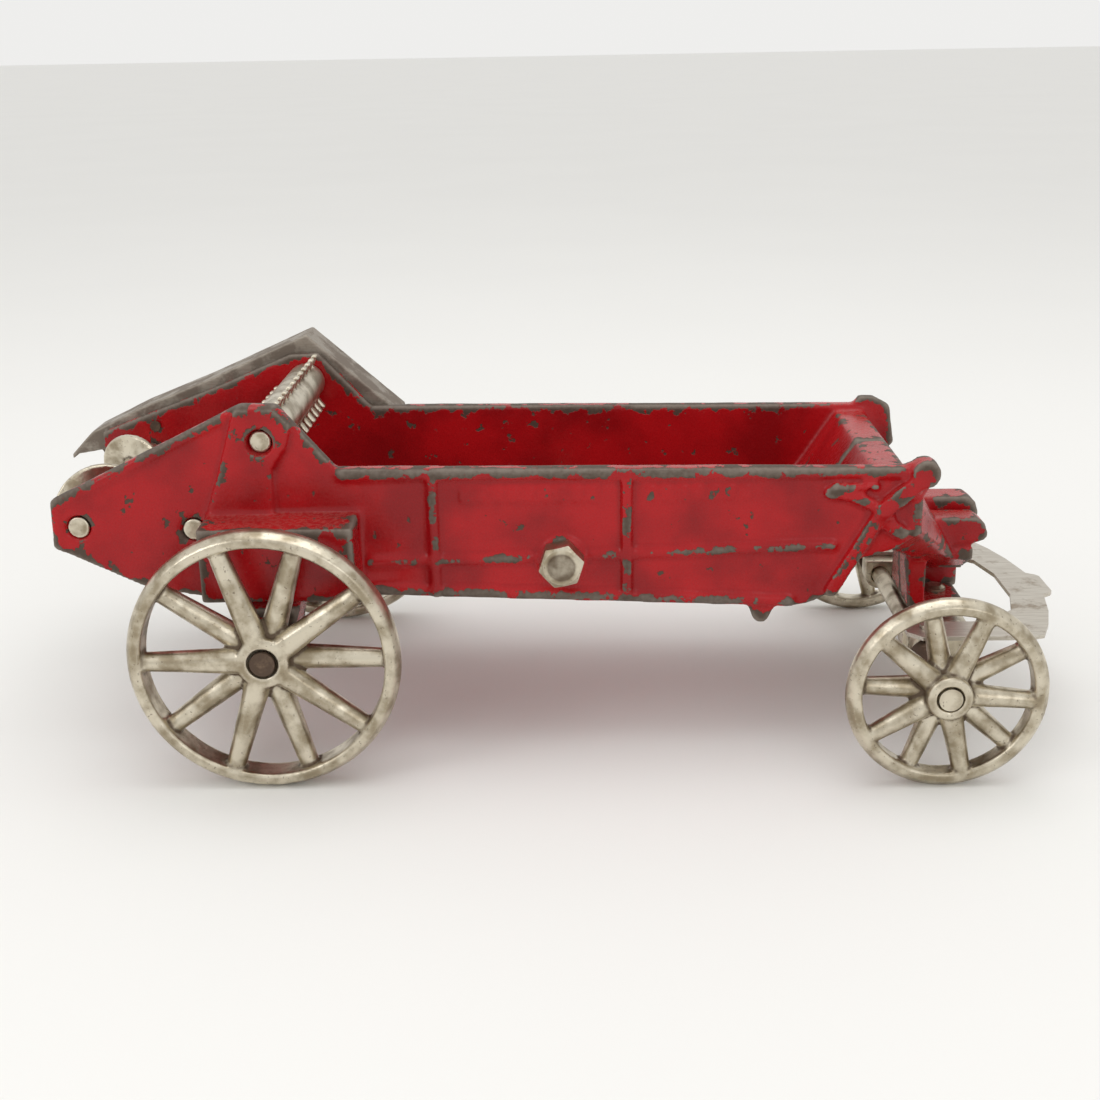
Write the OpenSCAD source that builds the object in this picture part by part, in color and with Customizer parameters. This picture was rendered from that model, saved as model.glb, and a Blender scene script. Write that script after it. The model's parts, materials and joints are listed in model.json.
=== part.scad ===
// Cast-iron toy farm spreader: a two-half wagon box with three geared
// beaters behind, a steerable front truck and four ten-spoke wheels.
// Millimetres. +X is the way the wagon is drawn, +Z is up, and the origin is
// on the floor in the middle of the footprint. Working frame of the modules:
// x is measured from the rear axle, y from the middle, z from the floor.

/* [Overall] */
// Distance from the rear axle to the front axle
wheelbase = 143.2; // [130:0.1:180]
// Clear width of the box between its two walls
inner_w = 57; // [46:0.5:70]
// Thickness of the cast side walls
wall_t = 2.8; // [2.2:0.1:3.4]
// Height of the rail above the rear axle, at the back of the box
rail_h = 36.6; // [34:0.1:40]
// How much lower the rail is at the front
rail_drop = 1.1; // [0:0.1:2]
// Reach of the hitch bow's tab in front of the front axle
bow_reach = 35.4; // [33:0.1:40]

/* [Wheels] */
// Radius of the rear wheels
rear_r = 29; // [24:0.1:35]
// Width of the rear rims
rear_rim_w = 6.4; // [5.5:0.1:7]
// Radius of the front wheels
front_r = 21.2; // [20:0.1:24]
// Width of the front rims
front_rim_w = 4.6; // [4:0.1:5.6]
// Distance over the outer faces of the front rims
front_track = 108; // [104:0.2:118]
// Radial depth of the rims
rim_t = 3.4; // [3:0.1:4]
// How much higher the middle of a tread is than its edges
crown = 0.9; // [0.4:0.1:1.2]
// Thickness of the spokes
spoke_d = 4; // [3:0.1:4.6]
// Spokes in each of the two rows of a wheel
spokes_per_row = 5; // [4:1:6]
// Diameter of the rear axle
rear_axle_d = 4.6; // [3.6:0.1:5.6]
// Diameter of the front axle
front_axle_d = 4.2; // [3.4:0.1:5]

/* [Beaters and gears] */
// Gear module
gear_m = 1.2; // [1.1:0.02:1.3]
// Teeth of the gear on the left rear wheel
axle_teeth = 16; // [14:1:18]
// Teeth of the gear on the main beater
main_teeth = 32; // [30:1:34]
// Teeth of the gears on the upper beater and the rear spiral
small_teeth = 10; // [9:1:11]
// Direction of the main beater's shaft seen from the axle, in degrees
main_dir = 126.4; // [124:0.1:130]
// Direction of the upper beater's shaft seen from the main shaft
upper_dir = 50.7; // [47:0.1:54]
// Direction of the rear spiral's shaft seen from the main shaft
spiral_dir = 178.4; // [175:0.1:181]
// Diameter of the beater shafts
shaft_d = 4.8; // [3.8:0.1:5.6]
// Thickness of the gears
gear_w = 4.2; // [3:0.1:4.6]
// Radius of the drum of the upper beater
upper_drum_r = 4.6; // [4:0.1:5]
// Radius over the teeth of the upper beater
upper_tip_r = 7.6; // [6.5:0.1:8]
// Radius of the drum of the main beater
main_drum_r = 5.6; // [5:0.1:6.5]
// Radius over the teeth of the main beater
main_tip_r = 11; // [9:0.1:12]
// Radius of the flights of the rear spiral
flight_r = 9.3; // [8:0.1:10.5]
// Number of teeth along a beater
tines_along = 11; // [9:1:12]

/* [Front truck] */
// Distance of the kingpin in front of the front axle
pin_lead = 8.8; // [8:0.1:10]
// Diameter of the kingpin
kingpin_d = 3.4; // [2.8:0.1:4]
// Thickness of the steel hitch bow
bow_t = 1; // [0.8:0.1:1.5]
// Width of the hitch bow over its arms
bow_w = 66; // [60:0.5:72]

/* [Box details] */
// Place of the clamp bolt in front of the rear axle
bolt_x = 62.8; // [50:0.1:72]
// Height of the clamp bolt above the rear axle
bolt_h = 15.6; // [14:0.1:18]
// Diameter of the clamp bolt
bolt_d = 4.2; // [3.4:0.1:5]
// Height of the clamp bolt's head
head_h = 5; // [3:0.1:6]
// Width across the flats of the bolt's head and nut
hex_flats = 8.7; // [7.5:0.1:10]
// How far the axle box stands out from the right wall
box_out = 10.6; // [9:0.1:13]
// Height of the ribs and borders on the walls
relief = 0.9; // [0.5:0.1:1.2]
// Distance from the wall to the drive guard's outer face
guard_reach = 11.9; // [11.5:0.1:13]
// Thickness of the drive guard's sheet
guard_t = 1.2; // [0.8:0.1:1.4]

/* [Fits] */
// Radial clearance of parts that turn on a pin
run = 0.06; // [0.03:0.01:0.1]
// Radial clearance of parts that are fixed together
seat = 0.03; // [0.01:0.01:0.05]
// Side clearance between a turning part and what it runs against
side_gap = 0.3; // [0.2:0.05:0.5]

/* [Hidden] */
$fn = 48;

paint = [0.72, 0.12, 0.14];
nickel = [0.80, 0.76, 0.66];
bare_iron = [0.55, 0.52, 0.49];
bright_steel = [0.78, 0.75, 0.70];
dark_steel = [0.45, 0.38, 0.34];

// Widths
in_y = inner_w / 2;                       // inner face of a wall
out_y = in_y + wall_t;                    // outer face of a wall
seam = 0.05;                              // half the seam between the castings
face_gap = 0.05;                          // between flat faces that touch

// Gears: centre distances, and the shafts they give, from the rear axle
addendum = 0.8 * gear_m;
dedendum = 1.05 * gear_m;
backlash = 0.35;
axle_to_main = gear_m * (axle_teeth + main_teeth) / 2;
main_to_small = gear_m * (main_teeth + small_teeth) / 2;
axle_z = rear_r;
main_x = axle_to_main * cos(main_dir);
main_z = axle_z + axle_to_main * sin(main_dir);
upper_x = main_x + main_to_small * cos(upper_dir);
upper_z = main_z + main_to_small * sin(upper_dir);
spiral_x = main_x + main_to_small * cos(spiral_dir);
spiral_z = main_z + main_to_small * sin(spiral_dir);

// Gear train across the left side
gear_y0 = out_y + 5.1;
gear_y1 = gear_y0 + gear_w;
left_lug_y = gear_y0 - side_gap;
shaft_end_y = gear_y1 + 0.6;
guard_y = out_y + guard_reach;
guard_back = 21.4;                        // how far the guard reaches behind the spiral's shaft

// Phases that bring the teeth into mesh at rest
axle_phase = 0;
main_phase = mesh_phase(axle_phase, axle_teeth, main_teeth, main_dir);
upper_phase = mesh_phase(main_phase, main_teeth, small_teeth, upper_dir);
spiral_phase = mesh_phase(main_phase, main_teeth, small_teeth, spiral_dir);

// Rear wheels
hub_in_y = out_y + box_out + side_gap;    // inner end of the rear hubs
rim_in_y = hub_in_y + 3.6;
rim_out_y = rim_in_y + rear_rim_w;
hub_r = 5.6;
peen_h = 0.9;
peen_grow = 0.7;                          // how much a peened end spreads

// Front wheels and truck
front_z = front_r;
front_rim_out = front_track / 2;
front_rim_in = front_rim_out - front_rim_w;
front_hub_in = front_rim_in - 1.2;
front_hub_r = 4.8;
front_turn = 31;                          // turn of the front wheels at rest, in degrees
pin_x = wheelbase + pin_lead;
foot_z = front_z + front_axle_d / 2 + 0.3;   // underside of the wide foot
foot_top = foot_z + 1.2;
beam_top = front_z;                          // top of the truck's cross beam
beam_low = front_z - 6.4;
ear_out = 25;
ear_in = 20;
bow_z = front_z + 3.8;                       // underside of the hitch bow
bow_in_w = bow_w - 18;

// Heights in the box
floor_low = axle_z + 7.4;
floor_top = floor_low + 2.4;
front_x = wheelbase - 2.7;                   // front edge of the side walls
rail_back = axle_z + rail_h;
rail_front = rail_back - rail_drop;
far_drop = 0.8;                              // how much lower the left rail is
low_back = axle_z + 7.7;
low_front = axle_z + 3.9;
curve_r = 14;
curve_x = front_x - 28;
knob_r = 3.2;
hex_turn = 12;                               // how far the bolt's hexagon is turned
knob_z = rail_front - 1.3;
post_foot = axle_z + 27;
box_low = axle_z + 8.5;
box_x0 = -14;
box_x1 = 19;
rib_back = box_x1 + 16.2;
rib_front = bolt_x + 14.2;
band_z = axle_z + 16.2;
lever_x = front_x - 9.5;                     // pivot of the brake lever in relief
lever_z = rail_front - 11.2;

// Angle that a gear at the far end of a line of centres needs
function mesh_phase(phase, n_from, n_to, dir) =
    dir + 180 + ((dir - phase) * n_from / 360 - 0.5) * 360 / n_to;

function polar(r, a) = [r * cos(a), r * sin(a)];
function arc(cx, cz, r, a0, a1, n) =
    [for (i = [0:n]) [cx + r * cos(a0 + (a1 - a0) * i / n), cz + r * sin(a0 + (a1 - a0) * i / n)]];

// Half the angle of an involute tooth at radius r
function inv(a) = tan(a) * 180 / PI - a;
function half_tooth(n, r) =
    let (rp = gear_m * n / 2, pa = 25, rb = rp * cos(pa), rr = max(r, rb + 0.001))
    90 / n - backlash / 4 * 180 / (PI * rp) + inv(pa) - inv(acos(rb / rr));

// Closed outline of a spur gear
function gear_outline(n, phase) =
    let (rp = gear_m * n / 2, r_root = rp - dedendum, r_tip = rp + addendum,
         radii = [for (i = [0:4]) r_root + (r_tip - r_root) * i / 4])
    [for (k = [0:n - 1]) each concat(
        [for (i = [0:4]) polar(radii[i], phase + 360 * k / n - half_tooth(n, radii[i]))],
        [for (i = [4:-1:0]) polar(radii[i], phase + 360 * k / n + half_tooth(n, radii[i]))])];

// Extrusion of an (x, z) outline between two values of y
module slab(y0, y1) {
    translate([0, y1, 0]) rotate([90, 0, 0]) linear_extrude(y1 - y0) children();
}

// Round bar along y
module rod(x, z, y0, y1, d) {
    translate([x, y1, z]) rotate([90, 0, 0]) cylinder(h = y1 - y0, d = d);
}

// Flat bar with round ends between two (x, z) points, w wide
module strip(a, b, w, y0, y1) {
    dir = atan2(b[1] - a[1], b[0] - a[0]);
    slab(y0, y1) polygon(concat(arc(b[0], b[1], w / 2, dir - 90, dir + 90, 6),
        arc(a[0], a[1], w / 2, dir + 90, dir + 270, 6)));
}

// Moves the working frame to the part's own origin
module place() {
    translate([(guard_back - spiral_x - wheelbase - bow_reach) / 2, 0, 0]) children();
}

// ---------- the two side castings ----------

// Top edge of a wall behind the rail: the right one is shorter at the back
function right_top() = [
    [spiral_x - 5.9, spiral_z - 4.6], [spiral_x - 5.7, spiral_z + 6.1],
    [upper_x - 6.3, upper_z + 6.9], [upper_x - 3.8, upper_z + 8.1],
    [upper_x + 3.8, upper_z + 8], [upper_x + 15.7, rail_back]];
function left_top() = [
    [spiral_x - 12, spiral_z - 4.6], [spiral_x - 12, spiral_z + 6],
    [upper_x - 22, upper_z - 1], [upper_x - 4, upper_z + 6.5],
    [upper_x + 3, upper_z + 6.8], [upper_x + 15.7, rail_back - far_drop]];
function knob_end() = concat([[front_x - 4.5, rail_front]], arc(front_x, knob_z, knob_r, 140, -60, 8),
    [[front_x, knob_z - 6]]);
function ear_end() = [[front_x - 4.8, rail_front - far_drop], [front_x - 3, rail_front + 1.2],
    [front_x + 0.4, rail_front + 1], [front_x + 4.4, rail_front - 1.2],
    [front_x + 6, rail_front - 10.8], [front_x + 2.4, rail_front - 14.6]];
function front_edge(end) = concat(end,
    [ [front_x, axle_z + 20.5], [front_x - 5, axle_z + 17],
     [front_x - 9.5, axle_z + 15.6]],
    arc(curve_x, low_front + curve_r, curve_r, -15, -90, 8));
low_edge = [[box_x1, low_back], [box_x0, axle_z + 7.2], [main_x - 11, axle_z + 9.6]];

module wall_outline(top, end) {
    polygon(concat(top, front_edge(end), low_edge));
}

// Studs of one size in a row, on the upper part of a panel
module stud_row(x0, n) {
    for (i = [0:n - 1])
        translate([x0 + 3.4 * i, out_y - 0.3, rail_front - 6.8])
            cube([2.2, 0.3 + relief * 0.6, 3.4]);
}

// Ribs and borders cast on the outside of a wall, drawn on the +y side
module wall_relief(lip_from, drop) {
    y0 = out_y - 0.4;
    y1 = out_y + relief;
    rib_top = rail_front - 1.8 - drop;
    // rail lip and lower border
    strip([lip_from, rail_back - 1.2 - drop], [front_x - 5, rail_front - 1.2 - drop], 2.2, y0, y1);
    strip([box_x1 + 3, low_back + 1.4], [curve_x, low_front + 1.4], 2, y0, y1);
    // upright ribs
    for (x = [rib_back, rib_front])
        strip([x, rib_top], [x, axle_z + 8], 2, y0, y1 + 0.3);
    // lengthwise band, broken at the clamp bolt
    strip([box_x1 + 2, band_z - 0.8], [bolt_x - 7, band_z - 0.2], 1.8, y0, y1);
    strip([bolt_x + 7, band_z + 0.2], [front_x - 19, band_z + 2], 1.8, y0, y1);
    rod(bolt_x, axle_z + bolt_h, y0, out_y + relief, hex_flats + 1.6);
    stud_row(rib_back + 6, 9);
    stud_row(rib_front + 4, 7);
}

// Brace, knob and brake lever cast on the right wall, drawn on the +y side
module lever_relief() {
    y0 = out_y - 0.4;
    y1 = out_y + relief;
    // brace that runs up to the knob
    strip([curve_x + 9, low_front + 4], [lever_x + 1, lever_z + 2], 3, y0, y1 + 0.8);
    strip([lever_x + 1, lever_z + 2], [front_x - 0.4, knob_z - 1], 3.6, y0, y1 + 1.4);
    rod(front_x, knob_z, y0, y1 + 1.6, 2 * knob_r - 0.3);
    // curved brake lever with its notched edge
    for (i = [0:5])
        strip(lever_point(i), lever_point(i + 1), 2.6 - 0.1 * i, y0, y1 + 0.4);
    for (i = [0:4])
        rod(lever_x - 9.4 + 2.1 * i, lever_z + 7.4 - 0.1 * i, y0, y1 + 0.7, 1.5);
    strip([lever_x, lever_z], [lever_x + 5.2, lever_z - 3.4], 2.8, y0, y1 + 0.5);
    // front edge of the panel
    strip([front_x - 1.2, knob_z - 5], [front_x - 1.2, axle_z + 21], 2.2, y0, y1);
}
function lever_point(i) = [lever_x - 10.6 + 2.2 * i, lever_z + 5.9 - 0.17 * i * i];

// Axle bearing under a wall: the lug reaches down round the axle
module axle_lug(y_end) {
    slab(in_y, y_end) {
        translate([0, axle_z]) circle(r = 5);
        polygon([[-5, axle_z], [5, axle_z], [6.5, low_back + 1], [-6.5, low_back + 1]]);
    }
}

// Front of the box, drawn for the half with y > 0: sloping front board, hollow
// nose, leg, and the lip that holds the tongue
module front_half(lip_top, lip_low) {
    board_top = rail_front - 2.4;
    // sloping front board
    slab(seam, in_y + 0.5)
        polygon([[front_x - 26, floor_low], [front_x - 21.5, floor_low],
            [front_x - 2.8, board_top], [front_x - 9, board_top]]);
    difference() {
        hull() {
            slab(seam, in_y) polygon([[front_x - 5, board_top - 3], [front_x - 5, board_top],
                [front_x - 2.4, board_top]]);
            slab(seam, 8.6) polygon([[pin_x - 6, axle_z + 6], [pin_x + 2, axle_z + 7],
                [pin_x - 3.5, axle_z + 17]]);
            slab(in_y - 1, out_y - 0.1) polygon([[front_x - 8, axle_z + 17.5],
                [front_x - 0.3, axle_z + 20.6], [front_x - 0.3, knob_z - 6], [front_x - 6, knob_z - 4]]);
        }
        // hollow behind the nose
        hull() {
            slab(3, in_y - 1) polygon([[front_x - 12, board_top - 8], [front_x - 30, floor_low - 8],
                [front_x - 8, board_top - 8]]);
            slab(3, 7) polygon([[pin_x - 16, axle_z], [pin_x - 8, axle_z + 3],
                [pin_x - 7, axle_z + 14]]);
        }
        // room over the floor, behind the board's face
        slab(0, in_y) polygon([[front_x - 26.5, floor_low], [front_x - 9, board_top + 0.2],
            [front_x - 40, board_top + 0.2]]);
    }
    // lip for the tongue
    slab(seam + 0.6, 8.6) polygon([[pin_x - 7, lip_top], [pin_x + 6.8, lip_top],
        [pin_x + 8.6, lip_top - 1.2], [pin_x + 9.6, lip_low + 1.4], [pin_x + 8.8, lip_low],
        [pin_x + 4, lip_low - 1], [pin_x - 7, lip_low - 1]]);
}

module side_casting(top, end, lip_from, drop, y_lug, lip_top, lip_low) {
    slab(in_y, out_y) wall_outline(top, end);
    wall_relief(lip_from, drop);
    axle_lug(y_lug);
    // half of the floor
    translate([main_x - 9, seam, floor_low])
        cube([front_x - 26 - main_x + 11, in_y, floor_top - floor_low]);
    front_half(lip_top, lip_low);
}

module shaft_bores(y0, y1) {
    for (c = [[main_x, main_z], [upper_x, upper_z], [spiral_x, spiral_z]])
        rod(c[0], c[1], y0, y1, shaft_d + 2 * run);
    rod(0, axle_z, y0, y1 + 20, rear_axle_d + 2 * seat);
    rod(bolt_x, axle_z + bolt_h, y0, y1, bolt_d + 2 * seat);
}

module right_side_casting() {
    color(paint) place() mirror([0, 1, 0]) difference() {
        union() {
            side_casting(right_top(), knob_end(), upper_x + 17, 0, out_y + box_out,
                axle_z + 16.3, axle_z + 10.8);
            lever_relief();
            // axle box, with a top that falls a little outwards
            translate([box_x0, 0, 0]) rotate([90, 0, 90]) linear_extrude(box_x1 - box_x0)
                polygon([[in_y + 1, box_low], [out_y + box_out, box_low + 1.6],
                    [out_y + box_out, post_foot - 0.8], [in_y + 1, post_foot]]);
            // raised post from the axle box to the upper shaft
            slab(out_y - 0.4, out_y + relief + 0.3)
                polygon([[box_x0, post_foot - 1], [upper_x - 9.5, upper_z - 7.5],
                    [upper_x - 6.8, upper_z + 1], [upper_x - 4.8, upper_z + 7.4],
                    [upper_x + 3.6, upper_z + 7.4], [upper_x + 7, upper_z + 3.6],
                    [upper_x + 5.6, upper_z - 1], [upper_x + 2.2, upper_z - 6], [0.8, post_foot - 1]]);
            // border of the rear panel
            strip([spiral_x - 4.4, spiral_z + 5], [upper_x - 8, upper_z + 5], 1.6, out_y - 0.4, out_y + 0.5);
            strip([spiral_x - 4.6, spiral_z + 4.6], [spiral_x - 4.6, spiral_z - 4], 1.6,
                out_y - 0.4, out_y + 0.5);
            // stop tab under the wall
            slab(in_y, out_y) polygon(concat([[front_x - 37, low_front + 1], [front_x - 30.5, low_front + 1]],
                arc(front_x - 34, low_front - 1.9, 1.9, -20, -160, 6)));
            // rib down the back of the leg
            slab(1, 9.6) polygon([[pin_x - 9.5, axle_z + 9], [pin_x - 4.5, axle_z + 9],
                [pin_x - 4.5, foot_z], [pin_x - 8.2, foot_z]]);
            // shoulder above the kingpin
            translate([pin_x - 4.6, 0, 0]) rotate([90, 0, 90]) linear_extrude(11)
                polygon([[seam, axle_z + 9], [8.6, axle_z + 9], [8.6, axle_z + 6.5], [seam, axle_z + 1.5]]);
            // foot plate with the kingpin's boss
            translate([pin_x - 5, -5, foot_z]) cube([10.5, 14, foot_top - foot_z]);
            translate([pin_x, 0, beam_top + face_gap]) cylinder(h = foot_top - beam_top - face_gap, r = 4.4);
        }
        shaft_bores(in_y - 1, out_y + 3);
        // wider mouths round the ends of the shafts
        for (c = [[main_x, main_z], [upper_x, upper_z], [spiral_x, spiral_z]])
            rod(c[0], c[1], out_y - 0.8, out_y + 4, shaft_d + 1.1);
        translate([pin_x, 0, 0]) cylinder(h = foot_top + 0.1, d = kingpin_d + 2 * run);
    }
}

module left_side_casting() {
    color(paint) place() difference() {
        union() {
            side_casting(left_top(), ear_end(), upper_x + 24.5, far_drop, left_lug_y,
                axle_z + 18.6, axle_z + 13);
            // leg behind the kingpin
            slab(seam, 9.4) polygon([[pin_x - 8.8, axle_z + 10], [pin_x + 6.4, axle_z + 10],
                [pin_x + 6.6, foot_z], [pin_x - 8.2, foot_z]]);
        }
        shaft_bores(in_y - 1, out_y + 3);
        for (c = guard_rivet_places())
            rod(c[0], c[1], c[2] - 0.1, out_y + 3, rivet_d + 2 * seat);
        // pocket for the foot plate and the kingpin's head
        translate([pin_x - 5.1, -1, foot_z - 2]) cube([20, 6.1, axle_z + 1 - foot_z + 2]);
    }
}

module hex_prism(x, z, y0, y1) {
    translate([x, y1, z]) rotate([90, 0, 0]) rotate(hex_turn)
        cylinder(h = y1 - y0, d = hex_flats / cos(30), $fn = 6);
}

module clamp_bolt() {
    z = axle_z + bolt_h;
    color(nickel) place() {
        hex_prism(bolt_x, z, -out_y - relief - head_h, -out_y - relief - face_gap);
        rod(bolt_x, z, -out_y - relief - 1, out_y + relief + 7, bolt_d);
    }
}

module clamp_nut() {
    z = axle_z + bolt_h;
    color(nickel) place() difference() {
        hex_prism(bolt_x, z, out_y + relief + face_gap, out_y + relief + 5.6);
        rod(bolt_x, z, out_y, out_y + relief + 6, bolt_d + 2 * seat);
    }
}

// ---------- drive guard ----------

rivet_d = 1.8;
// x, z and inner end of each guard rivet: the rear one goes right through the wall
function guard_rivet_places() = [
    [spiral_x + 1.8, spiral_z + 7.6, in_y - 0.5], [upper_x - 15, upper_z - 1.6, in_y + 0.9],
    [upper_x + 15.5, rail_back - 6, in_y + 0.9]];
function guard_path(drop) = [
    [spiral_x - guard_back, spiral_z - 0.4 - drop], [spiral_x - 15.8, spiral_z + 5.3 - drop],
    [spiral_x - 2.8, spiral_z + 11.5 - drop], [upper_x - 25.1, upper_z + 0.1 - drop],
    [upper_x - 0.1, upper_z + 11 - drop], [upper_x + 22.7, rail_back - 3.2 - drop]];

module drive_guard() {
    top = guard_path(0);
    under = guard_path(guard_t * 1.15);
    y_in = out_y + face_gap;
    color(bare_iron) place() difference() {
        union() {
            // top web
            slab(y_in, guard_y)
                polygon(concat(top, [for (i = [len(under) - 1:-1:0]) under[i]]));
            // outer plate over the gears
            slab(guard_y - guard_t, guard_y) polygon(concat(guard_path(0.2), [
                [upper_x + 21, rail_back - 9], [upper_x + 17, axle_z + 17],
                [main_x - 9, axle_z + 6], [spiral_x - 7, spiral_z - 9.6],
                [spiral_x - 15.4, spiral_z - 6.6], [spiral_x - 16.7, spiral_z - 2.6],
                [spiral_x - 18.4, spiral_z - 1.1]]));
            // inner flange against the wall
            slab(y_in, y_in + guard_t) polygon(concat(guard_path(0.2), [
                [upper_x + 17, rail_back - 9], [upper_x + 12, rail_back - 9],
                [upper_x + 9, upper_z - 3], [upper_x + 3, upper_z + 5.6], [upper_x - 5, upper_z + 5.6],
                [upper_x - 12, upper_z - 4], [spiral_x + 6, spiral_z + 4.8], [spiral_x - 4, spiral_z + 4.8],
                [spiral_x - 12, spiral_z + 1]]));
        }
        // round the hub of the wheel
        rod(0, axle_z, guard_y - 3, guard_y + 1, 27);
        for (c = guard_rivet_places())
            rod(c[0], c[1], out_y - 1, out_y + 3, rivet_d + 2 * seat);
    }
}

module guard_rivets() {
    color(dark_steel) place() for (c = guard_rivet_places()) {
        rod(c[0], c[1], c[2], out_y + face_gap + guard_t + 0.7, rivet_d);
        rod(c[0], c[1], out_y + 2 * face_gap + guard_t, out_y + face_gap + guard_t + 0.8, rivet_d + 1.2);
        if (c[2] < in_y) rod(c[0], c[1], c[2] - 0.1, in_y - face_gap, rivet_d + 0.8);
    }
}

// ---------- wheels and axles ----------

// Wheel drawn with its inner face at y = 0 and its outer face at y = w.
// Spokes stand in two rows, turned by half a pitch, and lean together at the rim.
module spoked_wheel(r, w, hub_back, hub_out, bore, hub, mouth) {
    face = w + hub_out;
    foot_y = [face - spoke_d / 2 - 0.2, max(spoke_d / 2 - 0.4, face - spoke_d / 2 - 3)];
    end_y = [w / 2 + 0.6, w / 2 - 0.6];
    foot_r = hub - 1.4;
    end_r = r - rim_t + 1.4;
    edge = r - crown;
    difference() {
        union() {
            rotate([-90, 0, 0]) rotate_extrude($fn = 96)
                polygon([[r - rim_t, 0.4], [r - rim_t + 0.4, 0], [edge - 0.4, 0], [edge, 0.4],
                    [r, w / 2 - 0.6], [r, w / 2 + 0.6], [edge, w - 0.4], [edge - 0.4, w],
                    [r - rim_t + 0.4, w], [r - rim_t, w - 0.4]]);
            for (row = [0, 1], k = [0:spokes_per_row - 1])
                rotate([0, -(k + (1 + row) / 2) * 360 / spokes_per_row, 0])
                    translate([foot_r, foot_y[row], 0])
                        rotate([0, 0, atan2(end_y[row] - foot_y[row], end_r - foot_r)]) rotate([0, 90, 0])
                            cylinder(h = norm([end_r - foot_r, end_y[row] - foot_y[row]]), d = spoke_d);
            rotate([-90, 0, 0]) translate([0, 0, -hub_back]) cylinder(h = face + hub_back, r = hub);
        }
        rotate([-90, 0, 0]) translate([0, 0, -hub_back - 1]) cylinder(h = face + hub_back + 2, d = bore);
        rotate([-90, 0, 0]) translate([0, 0, face - peen_h - 0.25]) cylinder(h = w, d = mouth);
    }
}

// Axle along y with a peened head at each end, its tips at y = -reach and reach
module headed_axle(x, z, reach, d, head_in) {
    rod(x, z, -reach, reach, d);
    for (s = [-1, 1])
        rod(x, z, min(s * head_in, s * reach), max(s * head_in, s * reach), d + peen_grow);
}

rear_hub_out = -0.4;                      // hub's face past the rim's
front_hub_out = 1.6;
rear_face = rim_out_y + rear_hub_out;
front_face = front_rim_out + front_hub_out;
module rear_axle() {
    color(dark_steel) place()
        headed_axle(0, axle_z, rear_face + 0.1, rear_axle_d, rear_face - peen_h);
}

module rear_wheel_right() {
    color(nickel) place() translate([0, -rim_in_y, axle_z]) mirror([0, 1, 0])
        spoked_wheel(rear_r, rear_rim_w, rim_in_y - hub_in_y, rear_hub_out, rear_axle_d + 2 * run, hub_r,
            rear_axle_d + peen_grow + 1.2);
}

module rear_wheel_left() {
    color(nickel) place() translate([0, rim_in_y, axle_z]) {
        spoked_wheel(rear_r, rear_rim_w, rim_in_y - hub_in_y, rear_hub_out, rear_axle_d + 2 * run, hub_r,
            rear_axle_d + peen_grow + 1.2);
        // sleeve that carries the drive gear
        translate([0, hub_in_y - rim_in_y + 0.2, 0]) rotate([90, 0, 0]) difference() {
            cylinder(h = hub_in_y - gear_y0 + 0.2, r = sleeve_r);
            translate([0, 0, -1]) cylinder(h = 20, d = rear_axle_d + 2 * run);
        }
    }
}
sleeve_r = rear_axle_d / 2 + 1.7;

module front_axle() {
    color(nickel) place()
        headed_axle(wheelbase, front_z, front_face + 0.1, front_axle_d, front_face - peen_h);
}

module front_wheel(side) {
    color(nickel) place() translate([wheelbase, side * front_rim_in, front_z])
        mirror([0, side < 0 ? 1 : 0, 0]) rotate([0, -front_turn, 0])
            spoked_wheel(front_r, front_rim_w, front_rim_in - front_hub_in, front_hub_out,
                front_axle_d + 2 * run, front_hub_r, front_axle_d + peen_grow + 0.8);
}
module front_wheel_right() front_wheel(-1);
module front_wheel_left() front_wheel(1);

// ---------- gears and beaters ----------

module spur(x, z, n, phase, bore) {
    difference() {
        translate([x, 0, z]) slab(gear_y0, gear_y1) polygon(gear_outline(n, phase));
        rod(x, z, gear_y0 - 1, gear_y1 + 1, bore + 2 * seat);
    }
}

// Gear with a collar that keeps it off the wall
module shaft_gear(x, z, n, phase) {
    spur(x, z, n, phase, shaft_d);
    difference() {
        rod(x, z, out_y + guard_t + side_gap, gear_y0 + 0.1, shaft_d + 2.8);
        rod(x, z, out_y, gear_y0 + 1, shaft_d + 2 * seat);
    }
}

module axle_drive_gear() {
    color(nickel) place() spur(0, axle_z, axle_teeth, axle_phase, 2 * sleeve_r);
}
module main_beater_gear() {
    color(nickel) place() shaft_gear(main_x, main_z, main_teeth, main_phase);
}
module upper_beater_gear() {
    color(nickel) place() shaft_gear(upper_x, upper_z, small_teeth, upper_phase);
}
module rear_spiral_gear() {
    color(nickel) place() shaft_gear(spiral_x, spiral_z, small_teeth, spiral_phase);
}

drum_half = in_y - 0.6;

// Shaft and toothed drum of a beater: rows of flat tines
module beater(x, z, drum_r, tip_r, rows, first) {
    rod(x, z, -out_y + 0.15, shaft_end_y, shaft_d);
    rod(x, z, -drum_half, drum_half, 2 * drum_r);
    pitch = 2 * (drum_half - 3) / (tines_along - 1);
    for (row = [0:rows - 1], k = [0:tines_along - 1])
        translate([x, -drum_half + 3 + pitch * (k + (row % 2) * 0.4 - 0.2), z])
            rotate([0, -(first + 360 * row / rows), 0])
                translate([0, -1.1, -0.6]) cube([tip_r, 2.2, 1.2]);
}

module upper_beater() {
    color(nickel) place() beater(upper_x, upper_z, upper_drum_r, upper_tip_r, 3, -52);
}
module main_beater() {
    color(nickel) place() beater(main_x, main_z, main_drum_r, main_tip_r, 4, 20);
}

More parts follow.
